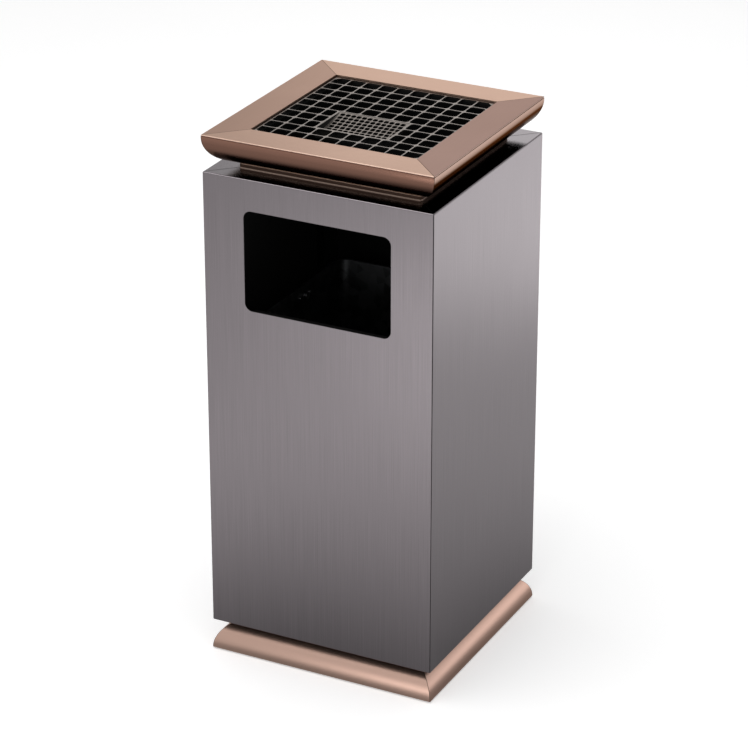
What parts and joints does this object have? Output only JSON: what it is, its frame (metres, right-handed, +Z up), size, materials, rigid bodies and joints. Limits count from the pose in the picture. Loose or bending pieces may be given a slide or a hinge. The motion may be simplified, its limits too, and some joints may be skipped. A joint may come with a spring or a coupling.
{
  "type": "ashtray bin",
  "caption": "Floor-standing square ash bin with a front litter mouth and a lift-off head holding an ash screen over a pan.",
  "frame": {"origin": "on the floor, in the middle of the square footprint, at the underside of the foot pads", "axes": "+Z up; -Y is the front, with the litter mouth; +X to the right of someone facing the front"},
  "size_m": [0.271, 0.271, 0.612],
  "materials": {
    "column_steel": "titanium-grey stainless sheet with an upright hairline grain",
    "rose_aluminium": "rose-gold anodised, satin brushed along each rail",
    "rose_steel": "rose-gold coated sheet, satin",
    "screen_steel": "punched stainless sheet, lightly polished",
    "pan_steel": "dull stainless, darkened by ash",
    "inner_steel": "matt black coating",
    "black_paint": "matt black",
    "key_metal": "mill finish",
    "screw_steel": "bright zinc plated",
    "galvanised_sheet": "galvanised sheet with a faint spangle",
    "bail_wire": "zinc plated wire",
    "pad_rubber": "matt black rubber"
  },
  "bodies": {
    "column": {"front_panel": "column_steel", "rear_panel": "column_steel", "left_panel": "column_steel", "right_panel": "column_steel", "seam_angles": "inner_steel", "mouth_apron": "inner_steel", "floor_plate": "inner_steel", "plinth_plate": "black_paint", "base_rail_front": "rose_aluminium", "base_rail_right": "rose_aluminium", "base_rail_rear": "rose_aluminium", "base_rail_left": "rose_aluminium", "base_corner_keys": "key_metal", "base_screws": "screw_steel", "foot_pads": "pad_rubber"},
    "head": {"head_rail_front": "rose_aluminium", "head_rail_right": "rose_aluminium", "head_rail_rear": "rose_aluminium", "head_rail_left": "rose_aluminium", "head_corner_keys": "key_metal", "pan_ledges": "key_metal", "neck_collar": "rose_steel", "collar_screws": "screw_steel"},
    "pan": {"ash_pan": "pan_steel"},
    "screen": {"ash_screen": "screen_steel", "stub_tray": "screen_steel"},
    "liner": {"liner_bucket": "galvanised_sheet", "bail_ears": "galvanised_sheet", "ear_rivets": "screw_steel"},
    "bail": {"bail_handle": "bail_wire"}
  },
  "joints": [
    {"name": "head_lift", "type": "slide", "parent": "column", "child": "head", "axis": [0, 0, 1], "range_m": [0, 0.7]},
    {"name": "pan_lift", "type": "slide", "parent": "head", "child": "pan", "axis": [0, 0, 1], "range_m": [0, 0.12]},
    {"name": "screen_lift", "type": "slide", "parent": "pan", "child": "screen", "axis": [0, 0, 1], "range_m": [0, 0.1]},
    {"name": "liner_lift", "type": "slide", "parent": "column", "child": "liner", "axis": [0, 0, 1], "range_m": [0, 0.56]},
    {"name": "bail_swing", "type": "hinge", "parent": "liner", "child": "bail", "pos_m": [0, 0, 0.388], "axis": [1, 0, 0], "range_deg": [0, 224]}
  ],
  "couplings": [
    {"joint": "liner_lift", "follows": "head_lift", "ratio": 0.8}
  ]
}
